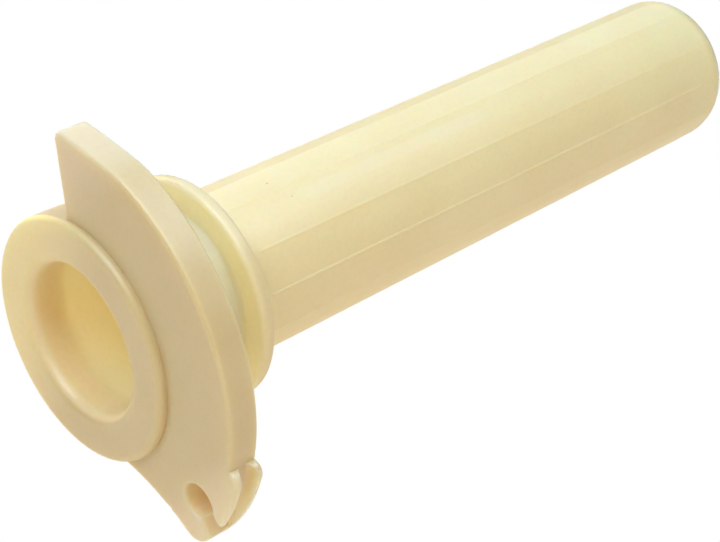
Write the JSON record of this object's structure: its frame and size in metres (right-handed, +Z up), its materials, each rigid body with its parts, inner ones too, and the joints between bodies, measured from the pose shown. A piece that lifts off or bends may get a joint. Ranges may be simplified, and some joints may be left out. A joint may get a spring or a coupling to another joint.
{
  "type": "throttle grip tube",
  "caption": "Bare moulded throttle tube: closed handlebar sleeve with fine raised lines, grip flange, cable drum with stop wing, and nipple lug.",
  "frame": {"origin": "on the tube's axis, in the plane of the flange face that the grip butts against", "axes": "+X along the tube's axis, from the cable drum to the closed outer end; +Z up, with the stop wing's tip near the top and the cable lug at the lower -Y side"},
  "size_m": [0.1306, 0.0499, 0.0533],
  "materials": {
    "natural_nylon": "satin, slightly translucent, cream-white moulded nylon"
  },
  "bodies": {
    "root": {"throttle_tube": "natural_nylon"}
  },
  "joints": []
}
